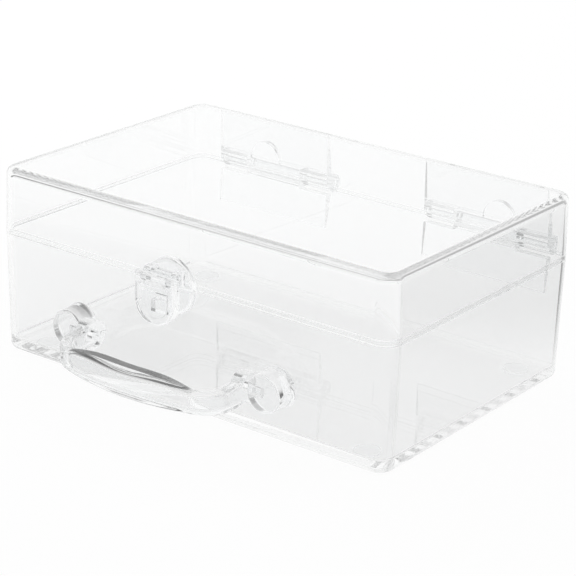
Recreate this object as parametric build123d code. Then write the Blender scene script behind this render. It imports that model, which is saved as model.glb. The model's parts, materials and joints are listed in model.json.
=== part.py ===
from build123d import *
import os
from math import radians, sqrt, tan

# A clear moulded carrying case: a deep base, a hinged lid, a round clasp over the seam
# and a carry handle that swings on two bosses. All sizes are in millimetres.
# X runs along the case, Y from its front to its back, Z up.
# The origin is on the surface that the feet stand on, under the middle of the whole case.

# Shells: both are widest at the seam where they meet
case_width = 205.0
case_depth = 136.3
base_height = 54.2
lid_height = 29.0
wall = 2.3
floor_thickness = 5.0
top_thickness = 3.2
corner_radius = 8.2
least_corner_radius = 0.5
edge_round = 3.2
inner_round = 1.6
draft_angle = 1.15
seam_gap = 0.3

# Tongue on the base's rim and the rebate for it in the lid
tongue_height = 1.8
tongue_thickness = 0.9
tongue_clearance = 0.3

# Feet
foot_radius = 5.5
foot_height = 1.2
foot_inset_x = 17.5
foot_inset_y = 13.8
foot_round = 0.5

# Hinges at the back
hinge_spacing = 115.6
hinge_width = 62.0
hinge_axis_out = 6.0
hinge_axis_rise = 1.0
hinge_barrel_radius = 4.2
hinge_pin_radius = 1.6
hinge_pin_recess = 0.5
end_knuckle_length = 15.4
knuckle_gap = 0.4
leaf_thickness = 3.6
leaf_tip_thickness = 0.8
base_leaf_drop = 19.0

# Half-round pad on each lid leaf, over the outer half of the middle knuckle
pad_spacing = 128.4
pad_radius = 8.2
pad_thickness = 1.2

# Handle, its bosses and its pivot pins, set off along X from the middle of the front wall
handle_offset = -2.7
handle_height = 24.0
boss_spacing = 104.1
boss_radius = 9.5
boss_flange_thickness = 3.2
boss_drum_radius = 8.6
boss_front_radius = 8.2
boss_round = 1.2
boss_cover = 0.9
boss_flat_reach = 7.2
handle_pin_radius = 2.2
handle_pin_seat = 6.0
handle_knuckle_radius = 6.4
handle_knuckle_clearance = 0.5
handle_droop = 4.0
arm_width = 6.0
elbow_reach = 19.5
elbow_round = 14.0
inner_elbow_round = 9.5
grip_reach = 28.6
grip_depth = 8.8
grip_length = 41.0
grip_height = 12.6
neck_spacing = 62.0
neck_rise = 4.6
bow_round = 2.2
bow_round_share = 0.495    # the most of the bow's thinnest place that a round may take

# Clasp over the seam, its two plates and its pin, set off in the same way
latch_offset = -4.6
latch_drop = 0.3
latch_radius = 12.4
latch_front_radius = 12.1
latch_plate_thickness = 2.6
latch_plate_round = 1.8
clasp_half_width = 10.3
clasp_rise = 7.3
clasp_drop = 14.4
clasp_thickness = 4.5
clasp_head_thickness = 2.9
clasp_head = 2.1
clasp_round = 1.5
clasp_rim = 3.0
clasp_pocket_depth = 1.8
clasp_pocket_drop = 7.1
clasp_knuckle_radius = 3.0
clasp_knuckle_clearance = 0.6
clasp_knuckle_half_width = 5.0
clasp_ear_width = 3.2
clasp_pin_radius = 1.2
catch_width = 8.0
catch_height = 5.0
catch_drop = 4.8

# Fits that all pins share, the joint line under each fitting, and how far a cutting body runs past a face
pin_clearance = 0.05
seat_gap = 0.05
overrun = 1.0

# Heights and planes that follow from the sizes above
draft_slope = tan(radians(draft_angle))
base_bottom = foot_height
seam_z = base_bottom + base_height
lid_bottom = seam_z + seam_gap
lid_top = lid_bottom + lid_height
front_y = -case_depth / 2
back_y = case_depth / 2

hinge_axis_y = back_y + hinge_axis_out
hinge_axis_z = seam_z + hinge_axis_rise

handle_axis_z = base_bottom + handle_height
handle_wall_y = front_y + (seam_z - handle_axis_z) * draft_slope
handle_axis_out = handle_knuckle_radius + handle_knuckle_clearance
handle_axis_y = handle_wall_y - handle_axis_out
boss_depth = handle_axis_out + handle_pin_radius + boss_cover
knuckle_outer_x = boss_spacing / 2 - boss_flat_reach - knuckle_gap
knuckle_inner_x = knuckle_outer_x - arm_width

latch_z = seam_z - latch_drop
clasp_axis_out = latch_plate_thickness + clasp_knuckle_radius + clasp_knuckle_clearance
clasp_axis_y = front_y - clasp_axis_out
clasp_axis_z = seam_z + clasp_rise - clasp_head
clasp_head_out = clasp_axis_out + clasp_knuckle_radius + knuckle_gap
clasp_front_out = clasp_head_out + clasp_head_thickness
clasp_back_out = clasp_front_out - clasp_thickness

SIDES = {"left": -1, "right": 1}


# Basic bodies


def shell_section(z, inset):
    """The outline of the shells at one height, drawn in from the outer face by an inset."""
    narrowing = inset + abs(z - seam_z) * draft_slope
    radius = max(corner_radius - narrowing, least_corner_radius)
    outline = RectangleRounded(case_width - 2 * narrowing, case_depth - 2 * narrowing, radius)
    return Pos(0, 0, z) * outline


def tapered_block(low, high, inset):
    """A solid block between two heights that follows the shells' draft."""
    return loft([shell_section(low, inset), shell_section(high, inset)], ruled=True)


def bar_along_x(x_low, x_high, y, z, radius):
    """A round bar along X."""
    middle = Pos((x_low + x_high) / 2, y, z)
    return middle * Rot(0, 90, 0) * Cylinder(radius, x_high - x_low)


def block(x_range, y_range, z_range):
    """A box between two corners."""
    ranges = [sorted(limits) for limits in (x_range, y_range, z_range)]
    middle = [sum(limits) / 2 for limits in ranges]
    size = [high - low for low, high in ranges]
    return Pos(*middle) * Box(*size)


def prism_along_x(points, x_low, x_high):
    """A straight prism along X from an outline of Y and Z points."""
    outline = make_face(Polyline(*points, close=True))
    return extrude(Plane.YZ.offset(x_low) * outline, x_high - x_low)


def disc_outwards(x, z, back, depth, radius, front_radius):
    """A round boss that stands out of the front wall, from a Y plane inside that wall."""
    boss = Cone(radius, front_radius, depth, align=(Align.CENTER, Align.CENTER, Align.MIN))
    return Pos(x, back, z) * Rot(90, 0, 0) * boss


# Shells


def base_envelope(inset):
    """The base as a full block, drawn in from its outer face by an inset."""
    body = tapered_block(base_bottom, seam_z, inset)
    return fillet(body.edges().group_by(Axis.Z)[0], edge_round)


def lid_envelope(inset):
    """The lid as a full block, drawn in from its outer face by an inset."""
    body = tapered_block(lid_bottom, lid_top, inset)
    return fillet(body.edges().group_by(Axis.Z)[-1], edge_round)


def base_shell():
    cavity = tapered_block(base_bottom + floor_thickness, seam_z, wall)
    cavity = fillet(cavity.edges().group_by(Axis.Z)[0], inner_round)
    tongue_outline = shell_section(seam_z, wall - tongue_thickness) - shell_section(seam_z, wall)
    return base_envelope(0) - cavity + extrude(tongue_outline, tongue_height)


def lid_shell():
    cavity = tapered_block(lid_bottom, lid_top - top_thickness, wall)
    cavity = fillet(cavity.edges().group_by(Axis.Z)[-1], inner_round)
    rebate_outline = shell_section(lid_bottom, wall - tongue_thickness - tongue_clearance)
    rebate = extrude(rebate_outline, tongue_height + tongue_clearance - seam_gap)
    return lid_envelope(0) - cavity - rebate


def foot(x, y):
    seat = (Align.CENTER, Align.CENTER, Align.MIN)
    pad = Cylinder(foot_radius, foot_height - seat_gap, align=seat)
    pad = fillet(pad.edges().group_by(Axis.Z)[0], foot_round)
    return Pos(x, y, 0) * pad


# Hinges


def hinge_spans(side):
    """The X limits of one hinge's first end, middle and last end knuckles."""
    low = side * hinge_spacing / 2 - hinge_width / 2
    high = low + hinge_width
    first = (low, low + end_knuckle_length)
    last = (high - end_knuckle_length, high)
    middle = (first[1] + knuckle_gap, last[0] - knuckle_gap)
    return first, middle, last


def hinge_leaf(side, tip_z, root_z, knuckles, web_z, shell_seat):
    """A wedge on the back wall, thin at its tip, with webs that carry its knuckles."""
    first, _, last = hinge_spans(side)
    seat_y = back_y - wall
    wedge = [
        (seat_y, tip_z),
        (back_y + leaf_tip_thickness, tip_z),
        (back_y + leaf_thickness, root_z),
        (seat_y, root_z),
    ]
    leaf = prism_along_x(wedge, first[0], last[1])
    for span in knuckles:
        leaf += block(span, (seat_y, hinge_axis_y), (root_z, web_z))
        leaf += bar_along_x(*span, hinge_axis_y, hinge_axis_z, hinge_barrel_radius)
    bore = bar_along_x(
        first[0] - overrun, last[1] + overrun, hinge_axis_y, hinge_axis_z, hinge_pin_radius + pin_clearance
    )
    return leaf - shell_seat - bore


def leaf_pad(side, root_z):
    """A half-round pad that stands out of a lid leaf, flat along the leaf's lower edge."""
    x = side * pad_spacing / 2
    depth = leaf_thickness + pad_thickness
    seat = (Align.CENTER, Align.CENTER, Align.MAX)
    disc = Pos(x, back_y, root_z) * Rot(90, 0, 0) * Cylinder(pad_radius, depth, align=seat)
    return disc & block(
        (x - pad_radius, x + pad_radius), (back_y, back_y + depth), (root_z, root_z + pad_radius)
    )


def lid_hinge(side, shell_seat):
    first, _, last = hinge_spans(side)
    root_z = hinge_axis_z + hinge_barrel_radius + knuckle_gap
    tip_z = lid_top - edge_round
    leaf = hinge_leaf(side, tip_z, root_z, (first, last), hinge_axis_z, shell_seat)
    return leaf + leaf_pad(side, root_z)


def base_hinge(side, shell_seat):
    _, middle, _ = hinge_spans(side)
    root_z = hinge_axis_z - hinge_barrel_radius - knuckle_gap
    return hinge_leaf(side, seam_z - base_leaf_drop, root_z, (middle,), seam_z, shell_seat)


def hinge_pin(side):
    first, _, last = hinge_spans(side)
    low = first[0] + hinge_pin_recess
    high = last[1] - hinge_pin_recess
    return bar_along_x(low, high, hinge_axis_y, hinge_axis_z, hinge_pin_radius)


# Handle


def handle_boss(side, shell_seat):
    """A round boss with a flat on its inner side, where the handle's knuckle turns."""
    x = handle_offset + side * boss_spacing / 2
    back = handle_wall_y + wall
    drum_depth = wall + boss_depth
    boss = disc_outwards(x, handle_axis_z, back, drum_depth, boss_drum_radius, boss_front_radius)
    boss = fillet(boss.edges().group_by(Axis.Y)[0], boss_round)
    flange_depth = wall + boss_flange_thickness
    flange = disc_outwards(x, handle_axis_z, back, flange_depth, boss_radius, boss_radius - boss_round)
    boss += fillet(flange.edges().group_by(Axis.Y)[0], boss_round)
    flat_x = x - side * boss_flat_reach
    trim = block(
        (flat_x, flat_x - side * boss_radius),
        (back, handle_wall_y - boss_depth - overrun),
        (handle_axis_z - boss_radius - overrun, handle_axis_z + boss_radius + overrun),
    )
    pin_end_x = x - side * (boss_flat_reach - handle_pin_seat)
    bore_limits = sorted((flat_x - side * overrun, pin_end_x))
    bore = bar_along_x(*bore_limits, handle_axis_y, handle_axis_z, handle_pin_radius + pin_clearance)
    return boss - trim - shell_seat - bore


def handle_pin(side):
    x = handle_offset + side * boss_spacing / 2
    seat_end = x - side * (boss_flat_reach - handle_pin_seat + seat_gap)
    free_end = handle_offset + side * knuckle_inner_x
    return bar_along_x(*sorted((free_end, seat_end)), handle_axis_y, handle_axis_z, handle_pin_radius)


def handle_plan():
    """The bow seen from above, with its pivot axis on the X axis and its grip towards -Y."""
    grip_back = grip_depth - grip_reach
    outer_elbows = [(-knuckle_outer_x, -elbow_reach), (knuckle_outer_x, -elbow_reach)]
    inner_elbows = [(knuckle_inner_x, grip_back), (-knuckle_inner_x, grip_back)]
    outline = [
        Line((-knuckle_outer_x, 0), outer_elbows[0]),
        ThreePointArc(outer_elbows[0], (0, -grip_reach), outer_elbows[1]),
        Line(outer_elbows[1], (knuckle_outer_x, 0)),
        Line((knuckle_outer_x, 0), (knuckle_inner_x, 0)),
        Line((knuckle_inner_x, 0), inner_elbows[0]),
        Line(*inner_elbows),
        Line(inner_elbows[1], (-knuckle_inner_x, 0)),
        Line((-knuckle_inner_x, 0), (-knuckle_outer_x, 0)),
    ]
    plan = make_face(outline)
    arm_middle_x = (knuckle_outer_x + knuckle_inner_x) / 2
    inner = plan.vertices().filter_by(lambda corner: corner.Y < 0 and abs(corner.X) < arm_middle_x)
    plan = fillet(inner, inner_elbow_round)
    outer = plan.vertices().filter_by(lambda corner: corner.Y < 0 and abs(corner.X) > arm_middle_x)
    return fillet(outer, elbow_round)


def handle_side():
    """The bow seen from the front: straight below, and a full grip between two slimmer necks above."""
    end_x = knuckle_outer_x + overrun
    grip_z = grip_height / 2
    crest = Spline(
        (-end_x, neck_rise),
        (-neck_spacing / 2, neck_rise),
        (-grip_length / 2, grip_z),
        (0, grip_z),
        (grip_length / 2, grip_z),
        (neck_spacing / 2, neck_rise),
        (end_x, neck_rise),
    )
    keel = Line((-end_x, -grip_z), (end_x, -grip_z))
    return make_face([keel, Line(keel @ 1, crest @ 1), crest, Line(crest @ 0, keel @ 0)])


def elbow_thickness():
    """The bow's thinnest place, where an outer elbow's round runs into the grip's front arc."""
    bulge = grip_reach - elbow_reach
    front_radius = (knuckle_outer_x**2 + bulge**2) / (2 * bulge)
    round_path = front_radius - elbow_round
    outer_x = knuckle_outer_x - elbow_round
    outer_drop = sqrt(round_path**2 - outer_x**2)
    outer_y = front_radius - grip_reach - outer_drop
    inner_x = knuckle_inner_x - inner_elbow_round
    inner_y = grip_depth - grip_reach + inner_elbow_round
    apart = ((outer_x - inner_x) * outer_x - (outer_y - inner_y) * outer_drop) / round_path
    return elbow_round - inner_elbow_round + apart


def handle_bow():
    bow = extrude(handle_plan(), grip_height, both=True)
    bow &= extrude(Plane.XZ * handle_side(), grip_reach + overrun)
    edge_round = min(bow_round, bow_round_share * elbow_thickness())
    for end in (0, -1):
        bow = fillet(bow.faces().sort_by(Axis.Z)[end].edges(), edge_round)
    for side in SIDES.values():
        limits = sorted((side * knuckle_inner_x, side * knuckle_outer_x))
        bow += bar_along_x(*limits, 0, 0, handle_knuckle_radius)
    reach = knuckle_outer_x + overrun
    bow -= bar_along_x(-reach, reach, 0, 0, handle_pin_radius + pin_clearance)
    return Pos(handle_offset, handle_axis_y, handle_axis_z) * Rot(handle_droop, 0, 0) * bow


# Clasp


def latch_disc():
    """The round plate over the seam, before it is parted between the lid and the base."""
    depth = wall + latch_plate_thickness
    disc = disc_outwards(latch_offset, latch_z, front_y + wall, depth, latch_radius, latch_front_radius)
    return fillet(disc.edges().group_by(Axis.Y)[0], latch_plate_round)


def latch_side(z_low, z_high):
    """A slab that takes in the plate, and all that it carries, between two heights."""
    x_range = (latch_offset - latch_radius - overrun, latch_offset + latch_radius + overrun)
    return block(x_range, (front_y + wall, front_y - clasp_front_out), (z_low, z_high))


def clasp_ear_span(side):
    inner = clasp_knuckle_half_width + knuckle_gap
    limits = (side * inner, side * (inner + clasp_ear_width))
    return sorted(latch_offset + x for x in limits)


def latch_lid_plate(shell_seat):
    plate = latch_disc() & latch_side(lid_bottom, latch_z + latch_radius + overrun)
    ear_z = (clasp_axis_z - clasp_knuckle_radius, clasp_axis_z + clasp_knuckle_radius)
    for side in SIDES.values():
        span = clasp_ear_span(side)
        plate += block(span, (front_y, clasp_axis_y), ear_z)
        plate += bar_along_x(*span, clasp_axis_y, clasp_axis_z, clasp_knuckle_radius)
    return plate - shell_seat - clasp_bore()


def latch_base_plate(shell_seat):
    plate = latch_disc() & latch_side(latch_z - latch_radius - overrun, seam_z)
    catch_x = (latch_offset - catch_width / 2, latch_offset + catch_width / 2)
    catch_top = seam_z - catch_drop
    plate += block(
        catch_x,
        (front_y, front_y - clasp_back_out + knuckle_gap),
        (catch_top - catch_height, catch_top),
    )
    return plate - shell_seat


def clasp_outline(half_width, top_z, bottom_z):
    """A flat-topped U in X and Z."""
    shoulder = bottom_z + half_width
    outline = [
        Line((half_width, shoulder), (half_width, top_z)),
        Line((half_width, top_z), (-half_width, top_z)),
        Line((-half_width, top_z), (-half_width, shoulder)),
        ThreePointArc((-half_width, shoulder), (0, bottom_z), (half_width, shoulder)),
    ]
    return make_face(outline)


def clasp_slab(half_width, top_z, bottom_z, back_out, front_out):
    """A U-shaped slab between two distances out from the front wall."""
    outline = clasp_outline(half_width, top_z, bottom_z)
    slab = extrude(Plane.XZ * outline, front_out - back_out)
    return Pos(latch_offset, front_y - back_out, 0) * slab


def clasp_bore():
    reach = clasp_knuckle_half_width + knuckle_gap + clasp_ear_width + overrun
    limits = (latch_offset - reach, latch_offset + reach)
    return bar_along_x(*limits, clasp_axis_y, clasp_axis_z, clasp_pin_radius + pin_clearance)


def latch_clasp():
    """A U-shaped plate with a thumb pocket, a thinner head and a knuckle behind the head."""
    top_z = seam_z + clasp_rise
    bottom_z = seam_z - clasp_drop
    clasp = clasp_slab(clasp_half_width, top_z, bottom_z, clasp_back_out, clasp_front_out)
    clasp = fillet(clasp.edges().group_by(Axis.Y)[0], clasp_round)
    clasp -= clasp_slab(
        clasp_half_width - clasp_rim,
        top_z - clasp_pocket_drop,
        bottom_z + clasp_rim,
        clasp_front_out - clasp_pocket_depth,
        clasp_front_out + overrun,
    )
    head_low = clasp_axis_z - clasp_knuckle_radius - knuckle_gap
    clasp -= block(
        (latch_offset - clasp_half_width - overrun, latch_offset + clasp_half_width + overrun),
        (front_y - clasp_back_out + overrun, front_y - clasp_head_out),
        (head_low, top_z + overrun),
    )
    span = (latch_offset - clasp_knuckle_half_width, latch_offset + clasp_knuckle_half_width)
    clasp += block(
        span,
        (clasp_axis_y, front_y - clasp_head_out - clasp_head_thickness / 2),
        (clasp_axis_z - clasp_knuckle_radius, top_z - clasp_round),
    )
    clasp += bar_along_x(*span, clasp_axis_y, clasp_axis_z, clasp_knuckle_radius)
    return clasp - clasp_bore()


def latch_pin():
    reach = clasp_knuckle_half_width + knuckle_gap + clasp_ear_width
    limits = (latch_offset - reach, latch_offset + reach)
    return bar_along_x(*limits, clasp_axis_y, clasp_axis_z, clasp_pin_radius)


# The whole case


def case_pieces():
    """Every piece by its name, with the case's own middle at Y = 0."""
    base_seat = base_envelope(-seat_gap)
    lid_seat = lid_envelope(-seat_gap)
    pieces = {
        "base_shell": base_shell(),
        "lid_shell": lid_shell(),
        "handle_bow": handle_bow(),
        "latch_lid_plate": latch_lid_plate(lid_seat),
        "latch_base_plate": latch_base_plate(base_seat),
        "latch_clasp": latch_clasp(),
        "latch_pin": latch_pin(),
    }
    for name, side in SIDES.items():
        pieces[f"lid_hinge_{name}"] = lid_hinge(side, lid_seat)
        pieces[f"base_hinge_{name}"] = base_hinge(side, base_seat)
        pieces[f"hinge_pin_{name}"] = hinge_pin(side)
        pieces[f"handle_boss_{name}"] = handle_boss(side, base_seat)
        pieces[f"handle_pin_{name}"] = handle_pin(side)
        foot_x = side * (case_width / 2 - foot_inset_x)
        pieces[f"foot_front_{name}"] = foot(foot_x, front_y + foot_inset_y)
        pieces[f"foot_back_{name}"] = foot(foot_x, back_y - foot_inset_y)
    return pieces


def frame_shift(pieces):
    """How far the case moves along Y to bring the middle of its whole extent over the origin."""
    extents = [piece.bounding_box() for piece in pieces.values()]
    front = min(extent.min.Y for extent in extents)
    back = max(extent.max.Y for extent in extents)
    return -(front + back) / 2


def main():
    pieces = case_pieces()
    shift = frame_shift(pieces)
    os.makedirs("parts", exist_ok=True)
    for name, piece in pieces.items():
        export_step(Pos(0, shift, 0) * piece, f"parts/{name}.step")


if __name__ == "__main__":
    main()
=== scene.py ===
import json
from math import cos, radians, sin

import bmesh
import bpy
from mathutils import Matrix, Vector


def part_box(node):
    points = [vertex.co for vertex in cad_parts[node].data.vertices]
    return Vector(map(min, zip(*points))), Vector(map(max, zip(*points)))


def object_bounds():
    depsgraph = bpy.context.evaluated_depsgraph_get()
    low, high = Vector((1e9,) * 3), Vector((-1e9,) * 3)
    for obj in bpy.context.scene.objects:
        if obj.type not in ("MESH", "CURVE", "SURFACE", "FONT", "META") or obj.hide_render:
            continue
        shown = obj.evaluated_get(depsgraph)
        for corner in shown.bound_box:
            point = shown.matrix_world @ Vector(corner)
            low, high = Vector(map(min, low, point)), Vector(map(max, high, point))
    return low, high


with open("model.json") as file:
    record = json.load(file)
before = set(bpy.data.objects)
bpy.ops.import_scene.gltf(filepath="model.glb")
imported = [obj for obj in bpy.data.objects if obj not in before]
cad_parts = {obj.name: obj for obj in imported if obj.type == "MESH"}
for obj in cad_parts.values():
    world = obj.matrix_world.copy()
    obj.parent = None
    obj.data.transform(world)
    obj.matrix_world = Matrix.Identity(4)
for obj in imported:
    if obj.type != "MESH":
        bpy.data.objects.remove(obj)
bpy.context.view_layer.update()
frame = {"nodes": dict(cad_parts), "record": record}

# The photograph's view. Lengths are in metres.
VIEW_AZIMUTH = radians(36.67)
VIEW_ELEVATION = radians(21.05)
VIEW_ROLL = radians(1.63)
VIEW_DISTANCE = 0.9403
AIM_RIGHT = 0.0023
AIM_UP = 0.03175
SENSOR_WIDTH = 36.0
LENS = 134.6

# The studio's sizes and light
FLOOR_RADIUS = 6.0
FLOOR_SEGMENTS = 96
FLOOR_GAP = 0.0002
WHITE = (1.0, 1.0, 1.0, 1.0)
LIGHT_STEPS = 128
ROOM_LIGHT = 0.6
LAMP_DISTANCE = 1.6
SOFTBOXES = {    # degrees round from the front and up, then the size in metres and the power in watts
    "key_softbox": (-112, 45, 0.9, 12.0),
    "fill_softbox": (120, 42, 0.7, 4.0),
}

# Dark flags round the case, which only gloss and clear plastic show: degrees right of the view and up,
# then the radius of the dark middle and of the soft edge, and how bright the middle is
DARK_FLAGS = (
    (-121, 42, 9, 21, 0.05),
    (148, 42, 10, 30, 0.5),
    (-170, 57, 8, 22, 0.55),
    (100, 22, 14, 28, 0.25),
)

# Shaded places on the floor, which only gloss and clear plastic show: the middle of each, the radius of
# its dark part and of its soft edge, and how deep the shade is
FRONT_SHADE = ((-0.045, -0.118, 0.0), 0.03, 0.065, 0.85)
RIGHT_SHADE = ((0.21, 0.19, 0.0), 0.06, 0.17, 0.7)

# The paper's own tone, and how much it glows by itself for the camera and for gloss and clear plastic
PAPER_TONE = 0.92
SEEN_GLOW = 0.93
GLOSS_GLOW = 0.5

# Limits for counting how often a ray has been turned: once or more, and twice at most
ONCE_OR_MORE = 0.5
TWICE_AT_MOST = 2.5

# The plastic's values
PLASTIC_IOR = 1.49
SHADOW_TINT = (0.93, 0.93, 0.93, 1.0)
HAZE_SCALE = 60.0
HAZE_DETAIL = 3.0
FLOW_DETAIL = 1.0

# For each material slot: the tint, the dullest polish, and the scale and height of the flow waves
PLASTIC_FINISHES = {
    "clear_shell": ((0.985, 0.988, 0.988, 1.0), 0.01, 14.0, 0.00005),
    "clear_fitting": ((0.98, 0.983, 0.985, 1.0), 0.015, 40.0, 0.00004),
    "clear_handle": ((0.98, 0.983, 0.985, 1.0), 0.012, 36.0, 0.00004),
    "clear_pin": ((0.975, 0.979, 0.98, 1.0), 0.02, 60.0, 0.00002),
    "clear_foot": ((0.975, 0.979, 0.98, 1.0), 0.03, 60.0, 0.00003),
}


def base_centre():
    """The middle of the base's underside, which the view is measured from."""
    low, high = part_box("base_shell")
    middle = (low + high) / 2
    return Vector((middle.x, middle.y, low.z))


def direction(azimuth, elevation):
    """The direction from the case towards a place in the room; azimuth 0 is straight in front."""
    return Vector((sin(azimuth) * cos(elevation), -cos(azimuth) * cos(elevation), sin(elevation)))


def view_turn():
    """How the photograph's view is turned, before its roll."""
    tilt = radians(90) - VIEW_ELEVATION
    return Matrix.Rotation(VIEW_AZIMUTH, 4, "Z") @ Matrix.Rotation(tilt, 4, "X")


# Node helpers


def new_material(name):
    """An empty node material, with its nodes and links."""
    material = bpy.data.materials.new(name)
    material.use_nodes = True
    nodes = material.node_tree.nodes
    nodes.clear()
    return material, nodes, material.node_tree.links


def add_node(nodes, kind, **settings):
    """A new node with its settings."""
    node = nodes.new(kind)
    for key, value in settings.items():
        setattr(node, key, value)
    return node


def math_node(nodes, links, operation, first, second):
    """The result of one sum; each side is a node's output or a plain number."""
    node = add_node(nodes, "ShaderNodeMath", operation=operation)
    for socket, value in zip(node.inputs, (first, second)):
        if isinstance(value, bpy.types.NodeSocket):
            links.new(value, socket)
        else:
            socket.default_value = value
    return node.outputs["Value"]


# Clear plastic


def clear_plastic(name, tint, dullest, wave_scale, wave_height):
    """Moulded clear plastic: it bends light, has a faint polish haze and a slight flow waviness.

    Light on its way to another surface passes straight through, thinned by the shadow tint."""
    material, nodes, links = new_material(name)
    plastic = add_node(nodes, "ShaderNodeBsdfPrincipled")
    plastic.inputs["Base Color"].default_value = tint
    plastic.inputs["IOR"].default_value = PLASTIC_IOR
    plastic.inputs["Transmission Weight"].default_value = 1.0

    place = add_node(nodes, "ShaderNodeTexCoord")
    haze = add_node(nodes, "ShaderNodeTexNoise")
    haze.inputs["Scale"].default_value = HAZE_SCALE
    haze.inputs["Detail"].default_value = HAZE_DETAIL
    links.new(place.outputs["Object"], haze.inputs["Vector"])
    polish = add_node(nodes, "ShaderNodeMapRange")
    polish.inputs["To Max"].default_value = dullest
    links.new(haze.outputs["Fac"], polish.inputs["Value"])
    links.new(polish.outputs["Result"], plastic.inputs["Roughness"])

    flow = add_node(nodes, "ShaderNodeTexNoise")
    flow.inputs["Scale"].default_value = wave_scale
    flow.inputs["Detail"].default_value = FLOW_DETAIL
    links.new(place.outputs["Object"], flow.inputs["Vector"])
    wave = add_node(nodes, "ShaderNodeBump")
    wave.inputs["Strength"].default_value = 1.0
    wave.inputs["Distance"].default_value = wave_height
    links.new(flow.outputs["Fac"], wave.inputs["Height"])
    links.new(wave.outputs["Normal"], plastic.inputs["Normal"])

    passing = add_node(nodes, "ShaderNodeBsdfTransparent")
    passing.inputs["Color"].default_value = SHADOW_TINT
    path = add_node(nodes, "ShaderNodeLightPath")
    lit_through = math_node(
        nodes, links, "MAXIMUM", path.outputs["Is Shadow Ray"], path.outputs["Is Diffuse Ray"]
    )
    mix = add_node(nodes, "ShaderNodeMixShader")
    links.new(lit_through, mix.inputs["Fac"])
    links.new(plastic.outputs["BSDF"], mix.inputs[1])
    links.new(passing.outputs["BSDF"], mix.inputs[2])
    output = add_node(nodes, "ShaderNodeOutputMaterial")
    links.new(mix.outputs["Shader"], output.inputs["Surface"])
    return material


def dress_case():
    """Give each solid the clear plastic of its material slot."""
    plastics = {slot: clear_plastic(slot, *finish) for slot, finish in PLASTIC_FINISHES.items()}
    for piece in frame["record"]["subparts"]:
        solid = frame["nodes"][piece["node"]].data
        solid.materials.clear()
        solid.materials.append(plastics[piece["material_slot"]])


# The studio


def soft_step(nodes, links, value, start, end, low, high):
    """Low before start, high after end, and a smooth change between them."""
    step = add_node(nodes, "ShaderNodeMapRange", interpolation_type="SMOOTHSTEP")
    for key, number in (("From Min", start), ("From Max", end), ("To Min", low), ("To Max", high)):
        step.inputs[key].default_value = number
    links.new(value, step.inputs["Value"])
    return step.outputs["Result"]


def by_gloss(nodes, links):
    """1 for rays that come by way of gloss or clear plastic."""
    path = add_node(nodes, "ShaderNodeLightPath")
    return math_node(
        nodes, links, "MAXIMUM", path.outputs["Is Glossy Ray"], path.outputs["Is Transmission Ray"]
    )


def floor_shade(nodes, links, shade, seen):
    """How deep one shaded place is, for the rays that see it."""
    middle, core, edge, depth = shade
    place = add_node(nodes, "ShaderNodeTexCoord")
    away = add_node(nodes, "ShaderNodeVectorMath", operation="DISTANCE")
    away.inputs[1].default_value = middle
    links.new(place.outputs["Object"], away.inputs[0])
    deep = soft_step(nodes, links, away.outputs["Value"], core, edge, depth, 0.0)
    return math_node(nodes, links, "MULTIPLY", deep, seen)


def floor_tone(nodes, links):
    """How bright the paper is: even where it is seen straight, with two shaded places.

    The front one shows through single pieces, such as the grip, and the right one in mirroring walls."""
    path = add_node(nodes, "ShaderNodeLightPath")
    bends = path.outputs["Transmission Depth"]
    into = math_node(nodes, links, "GREATER_THAN", bends, ONCE_OR_MORE)
    not_far = math_node(nodes, links, "LESS_THAN", bends, TWICE_AT_MOST)
    through_one = math_node(nodes, links, "MULTIPLY", into, not_far)
    mirrored = math_node(nodes, links, "GREATER_THAN", path.outputs["Glossy Depth"], ONCE_OR_MORE)
    front = floor_shade(nodes, links, FRONT_SHADE, through_one)
    right = floor_shade(nodes, links, RIGHT_SHADE, mirrored)
    deepest = math_node(nodes, links, "MAXIMUM", front, right)
    return math_node(nodes, links, "SUBTRACT", 1.0, deepest)


def floor_material():
    """White paper: near white for the camera, and a little darker as gloss and clear plastic show it."""
    material, nodes, links = new_material("studio_floor")
    tone = floor_tone(nodes, links)
    paper = add_node(nodes, "ShaderNodeBsdfDiffuse")
    links.new(math_node(nodes, links, "MULTIPLY", tone, PAPER_TONE), paper.inputs["Color"])
    glow = add_node(nodes, "ShaderNodeEmission")
    links.new(tone, glow.inputs["Color"])
    path = add_node(nodes, "ShaderNodeLightPath")
    seen = math_node(nodes, links, "MULTIPLY", path.outputs["Is Camera Ray"], SEEN_GLOW)
    glossy = math_node(nodes, links, "MULTIPLY", by_gloss(nodes, links), GLOSS_GLOW)
    mix = add_node(nodes, "ShaderNodeMixShader")
    links.new(math_node(nodes, links, "MAXIMUM", seen, glossy), mix.inputs["Fac"])
    links.new(paper.outputs["BSDF"], mix.inputs[1])
    links.new(glow.outputs["Emission"], mix.inputs[2])
    output = add_node(nodes, "ShaderNodeOutputMaterial")
    links.new(mix.outputs["Shader"], output.inputs["Surface"])
    return material


def add_floor():
    """A round sheet of paper just below the feet."""
    shape = bmesh.new()
    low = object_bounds()[0]
    place = Matrix.Translation((0, 0, low[2] - FLOOR_GAP))
    bmesh.ops.create_circle(
        shape, cap_ends=True, segments=FLOOR_SEGMENTS, radius=FLOOR_RADIUS, matrix=place
    )
    mesh = bpy.data.meshes.new("floor")
    shape.to_mesh(mesh)
    shape.free()
    floor = bpy.data.objects.new("floor", mesh)
    floor.data.materials.append(floor_material())
    bpy.context.scene.collection.objects.link(floor)


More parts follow.
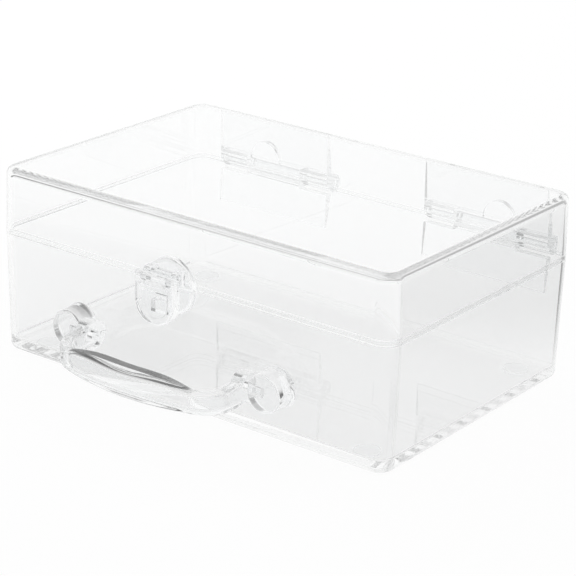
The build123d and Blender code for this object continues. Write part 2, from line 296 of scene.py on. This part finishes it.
def flag_tone(nodes, links):
    """How bright the room is in each direction, with its dark flags."""
    place = add_node(nodes, "ShaderNodeTexCoord")
    tone = 1.0
    for azimuth, elevation, core, edge, level in DARK_FLAGS:
        facing = add_node(nodes, "ShaderNodeVectorMath", operation="DOT_PRODUCT")
        middle = direction(VIEW_AZIMUTH + radians(azimuth), radians(elevation))
        facing.inputs[1].default_value = middle
        links.new(place.outputs["Generated"], facing.inputs[0])
        start = cos(radians(edge))
        end = cos(radians(core))
        flag = soft_step(nodes, links, facing.outputs["Value"], start, end, 1.0, level)
        tone = math_node(nodes, links, "MULTIPLY", flag, tone)
    return tone


def add_world():
    """A white room, dimmer as a lamp, with dark flags that only gloss and clear plastic show."""
    world = bpy.data.worlds.new("studio_room")
    world.use_nodes = True
    nodes = world.node_tree.nodes
    links = world.node_tree.links
    nodes.clear()
    lamp = add_node(nodes, "ShaderNodeBackground")
    lamp.inputs["Color"].default_value = WHITE
    lamp.inputs["Strength"].default_value = ROOM_LIGHT
    flagged = add_node(nodes, "ShaderNodeBackground")
    flagged.inputs["Color"].default_value = WHITE
    links.new(flag_tone(nodes, links), flagged.inputs["Strength"])
    white = add_node(nodes, "ShaderNodeBackground")
    white.inputs["Color"].default_value = WHITE
    glossy = add_node(nodes, "ShaderNodeMixShader")
    links.new(by_gloss(nodes, links), glossy.inputs["Fac"])
    links.new(lamp.outputs["Background"], glossy.inputs[1])
    links.new(flagged.outputs["Background"], glossy.inputs[2])
    path = add_node(nodes, "ShaderNodeLightPath")
    seen = add_node(nodes, "ShaderNodeMixShader")
    links.new(path.outputs["Is Camera Ray"], seen.inputs["Fac"])
    links.new(glossy.outputs["Shader"], seen.inputs[1])
    links.new(white.outputs["Background"], seen.inputs[2])
    output = add_node(nodes, "ShaderNodeOutputWorld")
    links.new(seen.outputs["Shader"], output.inputs["Surface"])
    bpy.context.scene.world = world


def add_lamp(name, azimuth, elevation, size, power):
    """A square softbox that faces the case, which gloss and clear plastic don't show."""
    lamp = bpy.data.lights.new(name, "AREA")
    lamp.shape = "SQUARE"
    lamp.size = size
    lamp.energy = power
    holder = bpy.data.objects.new(name, lamp)
    outwards = direction(radians(azimuth), radians(elevation))
    holder.location = base_centre() + outwards * LAMP_DISTANCE
    holder.rotation_euler = outwards.to_track_quat("Z", "Y").to_euler()
    holder.visible_glossy = False
    holder.visible_transmission = False
    bpy.context.scene.collection.objects.link(holder)


def add_camera():
    """The camera where the photograph was taken from."""
    turn = view_turn()
    aim = base_centre() + turn @ Vector((AIM_RIGHT, AIM_UP, 0))
    back = turn @ Vector((0, 0, VIEW_DISTANCE))
    data = bpy.data.cameras.new("photo_camera")
    data.sensor_width = SENSOR_WIDTH
    data.lens = LENS
    camera = bpy.data.objects.new("photo_camera", data)
    roll = Matrix.Rotation(VIEW_ROLL, 4, "Z")
    camera.matrix_world = Matrix.Translation(aim + back) @ turn @ roll
    bpy.context.scene.collection.objects.link(camera)
    bpy.context.scene.camera = camera


def let_light_through():
    """Follow light through all the walls, and along the clear edges that trap it for a while."""
    cycles = bpy.context.scene.cycles
    cycles.max_bounces = LIGHT_STEPS
    cycles.glossy_bounces = LIGHT_STEPS
    cycles.transmission_bounces = LIGHT_STEPS
    cycles.transparent_max_bounces = LIGHT_STEPS


dress_case()
add_floor()
add_world()
for softbox, values in SOFTBOXES.items():
    add_lamp(softbox, *values)
add_camera()
let_light_through()
bpy.context.scene.view_settings.view_transform = "Standard"
